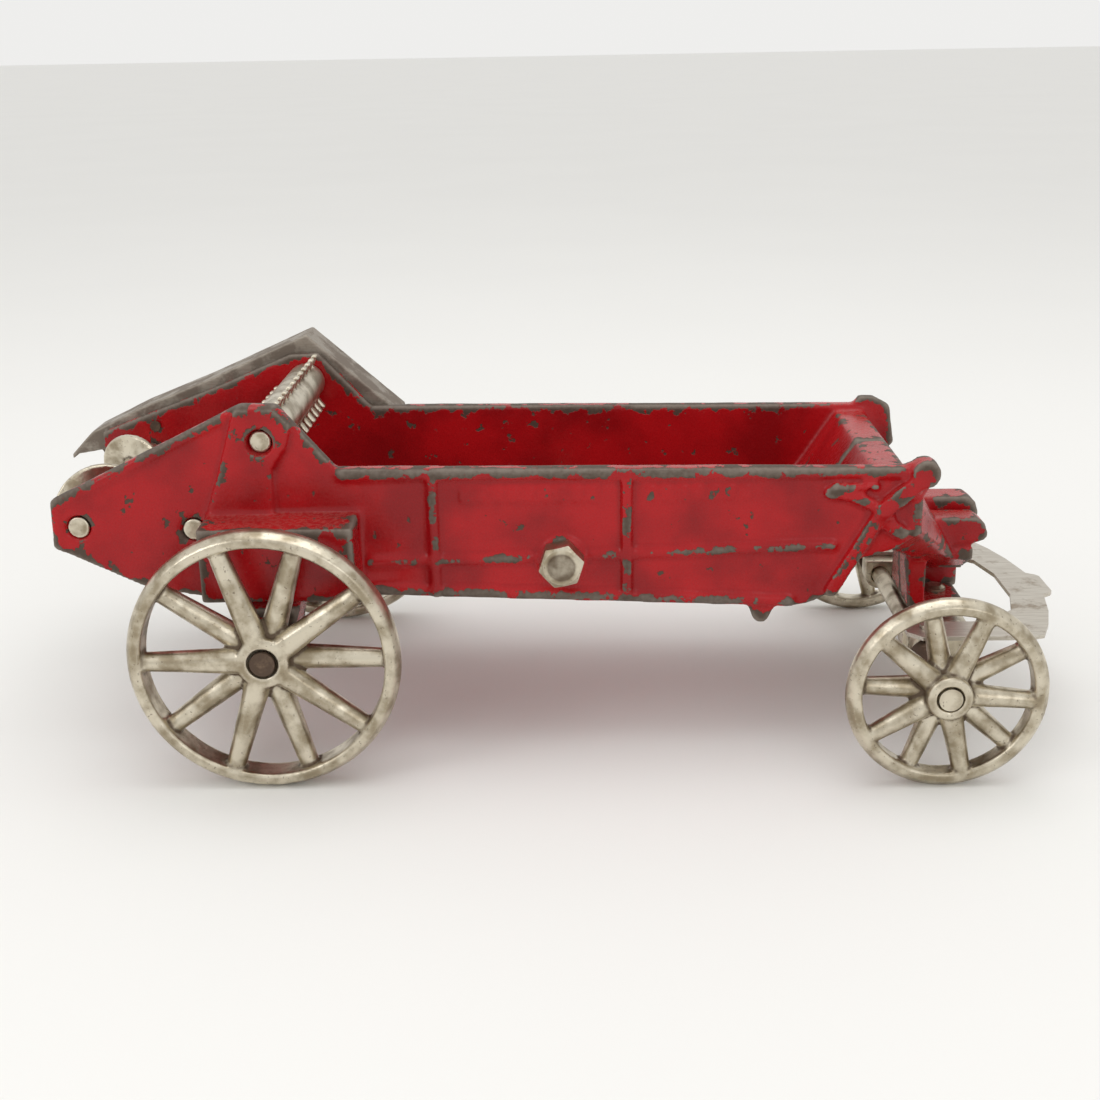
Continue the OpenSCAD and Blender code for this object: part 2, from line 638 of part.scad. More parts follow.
// Spiral spreader: flights of opposite hand on the two halves of the shaft
module rear_spiral() {
    color(nickel) place() {
        rod(spiral_x, spiral_z, -out_y + 0.15, shaft_end_y, shaft_d);
        rod(spiral_x, spiral_z, -drum_half, drum_half, shaft_d + 2.4);
        for (s = [-1, 1])
            translate([spiral_x, s * 0.8, spiral_z]) mirror([0, s < 0 ? 1 : 0, 0])
                rotate([-90, 0, 0]) linear_extrude(drum_half - 1.4, twist = 360, slices = 24, convexity = 6)
                    rotate(75) polygon(concat([[0, 0]], [for (i = [-1:1]) polar(flight_r, 14 * i)]));
    }
}

// ---------- front truck ----------

// Kingpin: a rivet with a domed head on the foot, peened under the washer
module kingpin() {
    low = beam_low - washer_t - 2 * face_gap;
    color(nickel) place() translate([pin_x, 0, 0]) {
        translate([0, 0, low - 1]) cylinder(h = foot_top + 1.5 - low, d = kingpin_d);
        translate([0, 0, foot_top + face_gap]) cylinder(h = 0.7, d = 5.4);
        translate([0, 0, foot_top + 0.7]) cylinder(h = 0.6, d1 = 5.2, d2 = 3.4, $fn = 48);
        translate([0, 0, low - 1.2]) cylinder(h = 1.2 - face_gap, d = kingpin_d + 1.4);
    }
}
washer_t = 0.8;
module kingpin_washer() {
    color(bright_steel) place() translate([pin_x, 0, beam_low - washer_t - face_gap]) difference() {
        cylinder(h = washer_t, d = kingpin_d + 4.4);
        translate([0, 0, -1]) cylinder(h = washer_t + 2, d = kingpin_d + 2 * seat);
    }
}

module truck_ear(s) {
    slab(min(s * ear_in, s * ear_out), max(s * ear_in, s * ear_out)) {
        translate([wheelbase, front_z]) circle(r = 3.8);
        polygon([[wheelbase - 3.8, front_z], [wheelbase, front_z - 3.8], [pin_x + 5, beam_low],
            [pin_x + 5, beam_top], [pin_x + 1, bow_z - face_gap], [wheelbase - 3.8, bow_z - face_gap]]);
    }
}

module front_truck() {
    color(nickel) place() difference() {
        union() {
            translate([wheelbase + 3, -ear_in - 1, beam_low]) cube([pin_lead + 2.2, 2 * ear_in + 2,
                beam_top - beam_low]);
            for (s = [-1, 1]) truck_ear(s);
            for (s = [-1, 1]) translate([wheelbase + 1, s * rivet_y, bow_z - 5.5])
                cylinder(h = 5.5 - face_gap, r = 3.6);
        }
        rod(wheelbase, front_z, -40, 40, front_axle_d + 2 * seat);
        translate([pin_x, 0, beam_low - 1]) cylinder(h = 20, d = kingpin_d + 2 * run);
        for (s = [-1, 1]) translate([wheelbase + 1, s * rivet_y, bow_z - bow_grip - 0.1])
            cylinder(h = 10, d = rivet_d + 2 * seat);
        // clearance of the axle under the middle of the beam
        rod(wheelbase, front_z, -ear_in, ear_in, 5.6);
    }
}
rivet_y = 27.2;
bow_grip = 1.3;                           // depth of the bow's rivets in the truck

module axle_spacers() {
    color(dark_steel) place() for (s = [-1, 1]) difference() {
        rod(wheelbase, front_z, min(s * (ear_out + 5.9), s * (front_hub_in - side_gap)),
            max(s * (ear_out + 5.9), s * (front_hub_in - side_gap)), front_axle_d + 2.2);
        rod(wheelbase, front_z, -60, 60, front_axle_d + 2 * seat);
    }
}

// Flat bow of the hitch: a ring open at the back, with a tab in front
function bow_side() = [
    [wheelbase + bow_reach, 5], [wheelbase + bow_reach - 0.6, 6], [wheelbase + bow_reach - 2.6, 7.4],
    [wheelbase + bow_reach - 4.6, 18], [wheelbase + bow_reach - 7, 26],
    [wheelbase + bow_reach - 9.6, bow_w / 2 - 1], [wheelbase + bow_reach - 12.5, bow_w / 2],
    [wheelbase - 1, bow_w / 2], [wheelbase - 4, bow_w / 2 - 3], [wheelbase - 4, bow_in_w / 2],
    [wheelbase + bow_reach - 20.2, bow_in_w / 2], [wheelbase + bow_reach - 12.8, 17],
    [wheelbase + bow_reach - 10.4, 7], [wheelbase + bow_reach - 10.4, 0]];

module hitch_bow() {
    side = bow_side();
    color(bright_steel) place() difference() {
        translate([0, 0, bow_z]) linear_extrude(bow_t)
            polygon(concat(side, [for (i = [len(side) - 2:-1:0]) [side[i][0], -side[i][1]]]));
        for (s = [-1, 1]) translate([wheelbase + 1, s * rivet_y, bow_z - 1])
            cylinder(h = 4, d = rivet_d + 2 * seat);
    }
}

module bow_rivets() {
    color(bright_steel) place() for (s = [-1, 1]) translate([wheelbase + 1, s * rivet_y, 0]) {
        translate([0, 0, bow_z - bow_grip]) cylinder(h = bow_grip + bow_t + 0.5, d = rivet_d);
        translate([0, 0, bow_z + bow_t + face_gap]) cylinder(h = 0.8, d = rivet_d + 1.6);
    }
}

right_side_casting();
left_side_casting();
clamp_bolt();
clamp_nut();
drive_guard();
guard_rivets();
rear_axle();
rear_wheel_right();
rear_wheel_left();
axle_drive_gear();
main_beater();
main_beater_gear();
upper_beater();
upper_beater_gear();
rear_spiral();
rear_spiral_gear();
kingpin();
kingpin_washer();
front_truck();
front_axle();
axle_spacers();
front_wheel_right();
front_wheel_left();
hitch_bow();
bow_rivets();
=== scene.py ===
"""Looks of a cast-iron toy farm spreader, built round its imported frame."""

import json
import logging
import math
from dataclasses import dataclass, field
from enum import Enum

import bmesh
import bpy
import numpy as np
from mathutils import Matrix, Vector, noise

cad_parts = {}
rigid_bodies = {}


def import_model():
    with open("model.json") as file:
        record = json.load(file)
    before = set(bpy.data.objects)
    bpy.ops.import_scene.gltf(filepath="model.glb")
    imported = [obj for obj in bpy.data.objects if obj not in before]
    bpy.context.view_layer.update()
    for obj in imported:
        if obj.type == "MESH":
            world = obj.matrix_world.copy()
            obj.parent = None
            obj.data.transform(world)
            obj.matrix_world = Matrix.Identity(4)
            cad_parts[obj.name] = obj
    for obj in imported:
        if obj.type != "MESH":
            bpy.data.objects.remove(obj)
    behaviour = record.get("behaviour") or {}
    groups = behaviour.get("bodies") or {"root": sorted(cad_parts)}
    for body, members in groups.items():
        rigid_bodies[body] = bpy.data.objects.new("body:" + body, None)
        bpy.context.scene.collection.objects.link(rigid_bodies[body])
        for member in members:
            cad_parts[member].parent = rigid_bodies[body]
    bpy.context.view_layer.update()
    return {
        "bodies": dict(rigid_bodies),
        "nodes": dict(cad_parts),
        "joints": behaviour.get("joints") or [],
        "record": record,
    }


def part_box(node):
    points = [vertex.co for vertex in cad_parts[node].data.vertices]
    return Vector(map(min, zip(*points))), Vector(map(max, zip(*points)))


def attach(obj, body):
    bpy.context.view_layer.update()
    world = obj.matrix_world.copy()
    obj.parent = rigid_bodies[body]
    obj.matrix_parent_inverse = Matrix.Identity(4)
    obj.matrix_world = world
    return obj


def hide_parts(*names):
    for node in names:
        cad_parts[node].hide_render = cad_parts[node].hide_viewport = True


LOG = logging.getLogger("spreader")
MM = 0.001
Colour = tuple[float, float, float]


class Slot(Enum):
    """Material slots of the record."""

    ENAMEL = "red_enamel"
    NICKEL = "nickel_plate"
    SHEET = "bare_sheet"
    BRIGHT = "bright_steel"
    DARK = "dark_steel"


class Body(Enum):
    """Bodies of the frame that pieces ride on."""

    WAGON = "wagon_body"
    LEFT_REAR = "left_rear_wheel"
    RIGHT_REAR = "right_rear_wheel"
    MAIN = "main_beater_shaft"
    UPPER = "upper_beater_shaft"
    SPIRAL = "spiral_shaft"
    TRUCK = "truck"
    LEFT_FRONT = "left_front_wheel"
    RIGHT_FRONT = "right_front_wheel"


class Side(Enum):
    """Side of the wagon that a wheel is on."""

    RIGHT = -1
    LEFT = 1


# ---------------------------------------------------------------- materials


@dataclass
class Wiring:
    """A material's node tree, with short calls for the nodes that the finishes share."""

    name: str
    material: bpy.types.Material = field(init=False)

    def __post_init__(self) -> None:
        """Starts the material with only its shader and its output."""
        self.material = bpy.data.materials.new(self.name)
        self.material.use_nodes = True
        self.tree = self.material.node_tree
        self.shader = self.tree.nodes["Principled BSDF"]
        self.place = self.node("ShaderNodeTexCoord").outputs["Object"]

    def node(self, kind: str, **settings: object) -> bpy.types.Node:
        """Adds a node and sets its properties.

        Args:
            kind: Blender's name for the node.
            settings: Properties to set on it.

        Returns:
            The new node.
        """
        made = self.tree.nodes.new(kind)
        for key, value in settings.items():
            setattr(made, key, value)
        return made

    def feed(self, socket: bpy.types.NodeSocket, value: object) -> None:
        """Links an output to a socket, or sets the socket's own value."""
        if isinstance(value, bpy.types.NodeSocket):
            self.tree.links.new(value, socket)
        elif isinstance(value, tuple) and len(value) == 3 and socket.type == "RGBA":
            socket.default_value = (*value, 1.0)
        else:
            socket.default_value = value

    def math(self, operation: str, a: object, b: object = 0.0) -> bpy.types.NodeSocket:
        """Returns the output of a Math node on two values."""
        made = self.node("ShaderNodeMath", operation=operation)
        self.feed(made.inputs[0], a)
        self.feed(made.inputs[1], b)
        return made.outputs[0]

    def ramp(self, value: object, low: float, high: float) -> bpy.types.NodeSocket:
        """Returns a soft step from 0 at low to 1 at high."""
        made = self.node("ShaderNodeMapRange", interpolation_type="SMOOTHSTEP")
        self.feed(made.inputs["Value"], value)
        made.inputs["From Min"].default_value = low
        made.inputs["From Max"].default_value = high
        return made.outputs["Result"]

    def grain(
        self, size: float, detail: float = 3.0, stretch: Colour = (1.0, 1.0, 1.0)
    ) -> bpy.types.NodeSocket:
        """Returns a noise pattern on the piece.

        Args:
            size: Size of its features, in metres.
            detail: Octaves of finer noise.
            stretch: How much it is squeezed along each axis.

        Returns:
            The noise, from 0 to 1.
        """
        mapping = self.node("ShaderNodeMapping")
        self.feed(mapping.inputs["Vector"], self.place)
        mapping.inputs["Scale"].default_value = stretch
        made = self.node("ShaderNodeTexNoise")
        self.feed(made.inputs["Vector"], mapping.outputs[0])
        made.inputs["Scale"].default_value = 1.0 / size
        made.inputs["Detail"].default_value = detail
        return made.outputs["Fac"]

    def mark(self, name: str) -> bpy.types.NodeSocket:
        """Returns a number that is stored on the piece's points."""
        return self.node("ShaderNodeAttribute", attribute_name=name).outputs["Fac"]

    def blend(self, amount: object, a: object, b: object) -> bpy.types.NodeSocket:
        """Returns colour a turning into colour b."""
        made = self.node("ShaderNodeMix", data_type="RGBA")
        self.feed(made.inputs[0], amount)
        self.feed(made.inputs[6], a)
        self.feed(made.inputs[7], b)
        return made.outputs[2]

    def between(self, amount: object, a: float, b: float) -> bpy.types.NodeSocket:
        """Returns a number that goes from a to b."""
        return self.math("ADD", self.math("MULTIPLY", amount, b - a), a)

    def bump(self, height: object, depth: float, strength: float = 1.0) -> None:
        """Gives the shader a relief of the stated depth in metres."""
        made = self.node("ShaderNodeBump")
        made.inputs["Strength"].default_value = strength
        made.inputs["Distance"].default_value = depth
        self.feed(made.inputs["Height"], height)
        self.feed(self.shader.inputs["Normal"], made.outputs[0])

    def skyward(self) -> bpy.types.NodeSocket:
        """Returns how far the surface faces up."""
        split = self.node("ShaderNodeSeparateXYZ")
        self.feed(split.inputs[0], self.node("ShaderNodeNewGeometry").outputs["Normal"])
        return split.outputs["Z"]


@dataclass(frozen=True)
class Enamel:
    """Glossy red enamel on cast iron, chipped to the iron on its edges, with painted shade in its
    hollows and paler pink upward faces that are partly a dusty film and partly painted sheen.
    """

    fresh: Colour = (0.41, 0.006, 0.009)
    # deep is both the darker tone of the paint and the colour of the painted shade in its hollows
    deep: Colour = (0.25, 0.004, 0.006)
    # pale pink of the upward faces: partly a dusty film, partly a painted sheen of the overhead
    # light
    dust_and_sheen: Colour = (0.36, 0.085, 0.07)
    iron: Colour = (0.088, 0.062, 0.046)
    worn: Colour = (0.215, 0.18, 0.15)
    chip_size: float = 3.6 * MM
    reach_weight: float = 4.4
    edge_weight: float = 1.3
    blotch_weight: float = 1.3
    fine_weight: float = 0.16
    bare_from: float = 0.21
    bare_to: float = 0.25

    def make(self) -> bpy.types.Material:
        """Returns the enamel."""
        w = Wiring("red_enamel_worn")
        blotch = w.grain(self.chip_size, 4.0)
        fine = w.grain(0.9 * MM, 3.0)
        broad = w.grain(16 * MM, 3.0)
        reach = w.mark("reach")
        edge = w.mark("edge")
        score = w.math("ADD", w.math("MULTIPLY", reach, self.reach_weight),
                       w.math("MULTIPLY", edge, self.edge_weight))
        for noise_in, weight in ((blotch, self.blotch_weight), (fine, self.fine_weight)):
            score = w.math("ADD", score,
                           w.math("MULTIPLY", w.math("SUBTRACT", noise_in, 0.5), weight))
        bare = w.ramp(score, self.bare_from, self.bare_to)
        # painted shade: concave places are blended towards the deep red
        hollow = w.ramp(w.math("MULTIPLY", edge, -1.0), 0.02, 0.12)
        paint = w.blend(w.ramp(broad, 0.35, 0.7), self.fresh, self.deep)
        paint = w.blend(w.math("MULTIPLY", hollow, 0.75), paint, self.deep)
        # upward faces paled towards pink: partly a dusty film, partly a painted sheen
        dusty_sheen_on_tops = w.math("MULTIPLY", w.ramp(w.skyward(), 0.55, 0.95), w.ramp(fine, 0.3, 0.62))
        paint = w.blend(w.math("MULTIPLY", dusty_sheen_on_tops, 0.42), paint, self.dust_and_sheen)
        metal = w.blend(w.ramp(w.math("ADD", edge, w.math("MULTIPLY", fine, 0.1)), 0.06, 0.2),
                        self.iron, self.worn)
        w.feed(w.shader.inputs["Base Color"], w.blend(bare, paint, metal))
        w.feed(w.shader.inputs["Metallic"], w.math("MULTIPLY", bare, 0.35))
        w.feed(w.shader.inputs["Roughness"],
               w.math("ADD", w.between(bare, 0.2, 0.52), w.math("MULTIPLY", fine, 0.14)))
        w.shader.inputs["Specular IOR Level"].default_value = 0.3
        relief = w.math("SUBTRACT", w.math("MULTIPLY", broad, 0.5), w.math("MULTIPLY", bare, 0.5))
        w.bump(w.math("ADD", relief, w.math("MULTIPLY", fine, 0.22)), 0.25 * MM, 0.8)
        return w.material


@dataclass(frozen=True)
class Nickel:
    """Warm nickel plate on cast iron, tarnished brown in its hollows and bright on its ridges,
    where rubbed plate and a painted highlight both lighten it.
    """

    bright: Colour = (0.66, 0.60, 0.48)
    dull: Colour = (0.33, 0.275, 0.19)
    tarnish: Colour = (0.095, 0.062, 0.036)

    def make(self) -> bpy.types.Material:
        """Returns the nickel plate."""
        w = Wiring("nickel_plate_worn")
        fine = w.grain(0.7 * MM, 4.0)
        patch = w.grain(4.5 * MM, 4.0)
        edge = w.mark("edge")
        ridge = w.ramp(w.math("ADD", edge, w.math("MULTIPLY", fine, 0.06)), 0.05, 0.16)
        hollow = w.ramp(w.math("SUBTRACT", w.math("MULTIPLY", patch, 0.12), edge), 0.055, 0.15)
        specks = w.ramp(fine, 0.62, 0.72)
        colour = w.blend(w.ramp(patch, 0.36, 0.66), self.bright, self.dull)
        # ridges turned towards the bright nickel: partly rubbed plate, partly a painted highlight
        colour = w.blend(w.math("MULTIPLY", ridge, 0.9), colour, self.bright)
        brown = w.math("MAXIMUM", hollow, w.math("MULTIPLY", specks, 0.6))
        w.feed(w.shader.inputs["Base Color"], w.blend(brown, colour, self.tarnish))
        w.feed(w.shader.inputs["Metallic"], w.between(brown, 0.95, 0.35))
        w.feed(w.shader.inputs["Roughness"],
               w.math("ADD", w.between(brown, 0.26, 0.5), w.math("MULTIPLY", patch, 0.12)))
        w.bump(w.math("ADD", w.math("MULTIPLY", fine, 0.4), patch), 0.16 * MM, 0.7)
        return w.material


@dataclass(frozen=True)
class Steel:
    """Sheet or bar steel, with its grain along X and patches of brown."""

    name: str
    clean: Colour
    stain: Colour
    rough: float
    spread: float
    metallic: float = 0.85

    def make(self) -> bpy.types.Material:
        """Returns the steel."""
        w = Wiring(self.name)
        brush = w.grain(0.35 * MM, 3.0, (0.06, 1.0, 1.0))
        patch = w.grain(6.0 * MM, 5.0)
        fine = w.grain(0.8 * MM, 3.0)
        stained = w.ramp(w.math("ADD", patch, w.math("MULTIPLY", fine, 0.25)),
                         0.72 - self.spread, 0.92 - self.spread)
        lit = w.blend(w.ramp(w.mark("edge"), 0.04, 0.14), w.blend(stained, self.clean, self.stain),
                      self.clean)
        streak = w.blend(w.math("MULTIPLY", w.ramp(brush, 0.35, 0.7), 0.35), lit, self.stain)
        w.feed(w.shader.inputs["Base Color"], streak)
        w.feed(w.shader.inputs["Metallic"], w.between(stained, self.metallic, 0.4 * self.metallic))
        w.feed(w.shader.inputs["Roughness"],
               w.math("ADD", w.between(stained, self.rough, self.rough + 0.2),
                      w.math("MULTIPLY", brush, 0.12)))
        w.bump(w.math("ADD", w.math("MULTIPLY", brush, 0.4), w.math("MULTIPLY", fine, 0.5)),
               0.08 * MM, 0.6)
        return w.material


@dataclass(frozen=True)
class Paper:
    """Matt off-white paper of the studio floor."""

    tone: Colour = (0.86, 0.855, 0.835)

    def make(self) -> bpy.types.Material:
        """Returns the paper."""
        w = Wiring("studio_paper")
        shade = w.ramp(w.grain(180 * MM, 2.0), 0.2, 0.8)
        w.feed(w.shader.inputs["Base Color"],
               w.blend(shade, self.tone, tuple(0.985 * c for c in self.tone)))
        w.shader.inputs["Roughness"].default_value = 0.9
        w.bump(w.grain(1.2 * MM, 2.0), 0.02 * MM, 0.3)
        return w.material


FINISHES = {
    Slot.ENAMEL: Enamel(),
    Slot.NICKEL: Nickel(),
    Slot.SHEET: Steel("bare_sheet_worn", (0.34, 0.30, 0.25), (0.17, 0.135, 0.105), 0.42, 0.22, 0.6),
    Slot.BRIGHT: Steel("bright_steel_brushed", (0.60, 0.56, 0.49), (0.30, 0.25, 0.19), 0.30, 0.06),
    Slot.DARK: Steel("brown_steel", (0.20, 0.135, 0.09), (0.085, 0.052, 0.033), 0.48, 0.30, 0.6),
}


# ------------------------------------------------------------------ meshes


def spun_ring(bm: bmesh.types.BMesh, outline: list[tuple[float, float]], steps: int) -> None:
    """Adds a ring round the Y axis.

    Args:
        bm: Mesh to add it to.
        outline: Closed outline as (radius, y) points, in millimetres.
        steps: Facets round the ring.
    """
    points = [bm.verts.new((r * MM, y * MM, 0.0)) for r, y in outline]
    edges = [bm.edges.new((a, b)) for a, b in zip(points, points[1:] + points[:1])]
    bmesh.ops.spin(bm, geom=points + edges, cent=(0, 0, 0), axis=(0, 1, 0), dvec=(0, 0, 0),
                   angle=math.tau, steps=steps, use_merge=True, use_duplicate=False)


def placed(bm: bmesh.types.BMesh, name: str) -> bpy.types.Object:
    """Returns the mesh as an object of the scene."""
    mesh = bpy.data.meshes.new(name)
    bm.to_mesh(mesh)
    bm.free()
    made = bpy.data.objects.new(name, mesh)
    bpy.context.scene.collection.objects.link(made)
    return made


def finished(bm: bmesh.types.BMesh, name: str) -> bpy.types.Object:
    """Returns the mesh as an object, with its doubles merged and faces outwards."""
    bmesh.ops.remove_doubles(bm, verts=bm.verts, dist=1e-6)
    bmesh.ops.recalc_face_normals(bm, faces=bm.faces)
    return placed(bm, name)


def copy_of(node: bpy.types.Object, name: str) -> bpy.types.Object:
    """Returns a merged copy of a frame node, whose own mesh stays as it is."""
    bm = bmesh.new()
    bm.from_mesh(node.data)
    bmesh.ops.remove_doubles(bm, verts=bm.verts, dist=2e-6)
    return placed(bm, name)


def neighbour_mean(values: np.ndarray, ends: np.ndarray) -> np.ndarray:
    """Returns the mean of each point's neighbours, one column at a time."""
    count = len(values)
    a, b = ends[:, 0], ends[:, 1]
    degree = np.maximum(np.bincount(np.concatenate((a, b)), minlength=count), 1)
    columns = values.reshape(count, -1)
    total = [np.bincount(a, columns[b, i], count) + np.bincount(b, columns[a, i], count)
             for i in range(columns.shape[1])]
    return (np.stack(total, 1) / degree[:, None]).reshape(values.shape)


def vectors(mesh: bpy.types.Mesh) -> tuple[np.ndarray, np.ndarray]:
    """Returns the places and the normals of a mesh's points, one row each."""
    place = np.empty(len(mesh.vertices) * 3, np.float32)
    normal = np.empty(len(mesh.vertices) * 3, np.float32)
    mesh.vertices.foreach_get("co", place)
    mesh.vertex_normals.foreach_get("vector", normal)
    return place.reshape(-1, 3).astype(float), normal.reshape(-1, 3).astype(float)


def roughen(mesh: bpy.types.Mesh, ripple: float) -> None:
    """Moves the points in and out a little, as sand leaves a casting's skin.

    Args:
        mesh: Mesh of the casting.
        ripple: Height of the unevenness, in millimetres.
    """
    place, normal = vectors(mesh)
    wave = np.array([noise.noise(Vector(p) * 220.0) for p in place])
    place += normal * (wave * ripple * MM)[:, None]
    mesh.vertices.foreach_set("co", place.astype(np.float32).ravel())
    mesh.update()


def mark_edges(piece: bpy.types.Object, unit: float, rounds: int, far: int) -> None:
    """Stores how convex the surface is round each point, close by and further off.

    Args:
        piece: Piece with an even mesh.
        unit: Size of its facets, in metres.
        rounds: Smoothing steps of the close mark.
        far: Smoothing steps of the wide mark.
    """
    mesh = piece.data
    place, normal = vectors(mesh)
    ends = np.empty(len(mesh.edges) * 2, np.int32)
    mesh.edges.foreach_get("vertices", ends)
    ends = ends.reshape(-1, 2)
    lift = ((place - neighbour_mean(place, ends)) * normal).sum(1) / unit
    for step in range(far):
        lift = 0.5 * lift + 0.5 * neighbour_mean(lift, ends)
        if step == rounds - 1:
            store(mesh, "edge", lift)
    store(mesh, "reach", lift)


def store(mesh: bpy.types.Mesh, name: str, values: np.ndarray) -> None:
    """Writes one number per point to the mesh."""
    layer = mesh.attributes.new(name, "FLOAT", "POINT")
    layer.data.foreach_set("value", values.astype(np.float32))


def cast(piece: bpy.types.Object, grain: float, softening: int, ripple: float,
         rounds: int = 2, far: int = 16) -> bpy.types.Object:
    """Turns a piece's solids into one casting with soft edges and an uneven skin.

    Args:
        piece: Piece made of closed solids.
        grain: Size of the new facets, in millimetres.
        softening: Smoothing steps over the edges.
        ripple: Height of the unevenness, in millimetres.
        rounds: Smoothing steps of the close edge mark.
        far: Smoothing steps of the wide edge mark.

    Returns:
        The same piece.
    """
    remesh = piece.modifiers.new("one_casting", "REMESH")
    remesh.mode = "VOXEL"
    remesh.voxel_size = grain * MM
    smooth = piece.modifiers.new("soft_edges", "SMOOTH")
    smooth.factor = 0.5
    smooth.iterations = softening
    graph = bpy.context.evaluated_depsgraph_get()
    mesh = bpy.data.meshes.new_from_object(piece.evaluated_get(graph))
    piece.modifiers.clear()
    piece.data = mesh
    roughen(mesh, ripple)
    mesh.shade_smooth()
    mark_edges(piece, grain * MM, rounds, far)
    return piece


def rounded(piece: bpy.types.Object, radius: float) -> bpy.types.Object:
    """Rounds the sharp edges of a piece.

    Args:
        piece: Piece with flat faces.
        radius: Width of the rounding, in millimetres.

    Returns:
        The same piece.
    """
    bm = bmesh.new()
    bm.from_mesh(piece.data)
    bmesh.ops.dissolve_limit(bm, angle_limit=math.radians(1.0), verts=bm.verts, edges=bm.edges)
    sharp = [e for e in bm.edges if len(e.link_faces) == 2 and e.calc_face_angle() > 0.7]
    bmesh.ops.bevel(bm, geom=sharp, offset=radius * MM, offset_type="OFFSET", segments=3,
                    profile=0.5, affect="EDGES", material=-1, clamp_overlap=True)
    bmesh.ops.triangulate(bm, faces=[f for f in bm.faces if len(f.verts) > 4])
    bm.to_mesh(piece.data)
    bm.free()
    return piece


@dataclass
class Shop:
    """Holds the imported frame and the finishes, and fits pieces to the frame."""

    frame: dict
    finishes: dict[Slot, bpy.types.Material] = field(default_factory=dict)

    def __post_init__(self) -> None:
        """Mixes every finish once."""
        self.finishes = {slot: finish.make() for slot, finish in FINISHES.items()}

    def node(self, name: str) -> bpy.types.Object:
        """Returns a frame node."""
        return self.frame["nodes"][name]

    def fit(self, piece: bpy.types.Object, body: Body, slot: Slot, *stands_for: str) -> None:
        """Paints a piece and hangs it on its body.

        Args:
            piece: Finished piece.
            body: Body that it moves with.
            slot: Finish that it gets.
            stands_for: Frame nodes that it replaces.
        """
        piece.data.materials.clear()
        piece.data.materials.append(self.finishes[slot])
        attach(piece, body.value)
        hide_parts(*stands_for)
        LOG.info("%s rides on %s, %d faces", piece.name, body.value, len(piece.data.polygons))

    def paint(self, slot: Slot, *names: str) -> None:
        """Gives frame nodes that keep their shape a finish."""
        for name in names:
            node = self.node(name)
            node.data.materials.clear()
            node.data.materials.append(self.finishes[slot])
            LOG.info("%s keeps its shape", name)

    def recast(self, name: str, node: str, body: Body, slot: Slot, grain: float,
               softening: int = 3, ripple: float = 0.05) -> None:
        """Makes a casting from a frame node and fits it in its place."""
        piece = cast(copy_of(self.node(node), name), grain, softening, ripple)
        self.fit(piece, body, slot, node)


# ------------------------------------------------------------- the wagon


